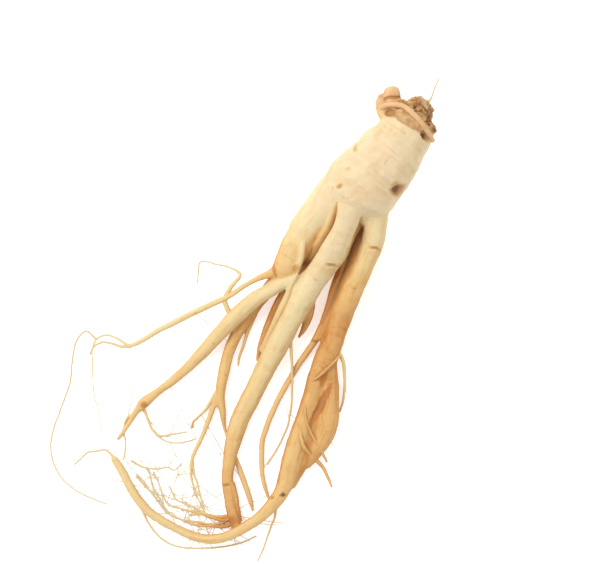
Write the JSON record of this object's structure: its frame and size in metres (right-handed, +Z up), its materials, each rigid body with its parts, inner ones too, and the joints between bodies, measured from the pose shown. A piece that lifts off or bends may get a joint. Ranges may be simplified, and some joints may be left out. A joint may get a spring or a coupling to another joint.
{
  "type": "dried ginseng root",
  "caption": "Whole dried ginseng root lying flat: knobbly crown, stout cream body, and long tapering legs with curled rootlets.",
  "frame": {"origin": "on the surface that the root lies on, under the middle of its body", "axes": "+Z up from the surface, -Y towards the tips of the legs, +X towards the side where the crown leans"},
  "size_m": [0.1564, 0.1938, 0.0276],
  "materials": {
    "root_skin": "matt dried root skin, cream on the body and tan towards the tips"
  },
  "bodies": {
    "root": {"ginseng_root": "root_skin"}
  },
  "joints": []
}
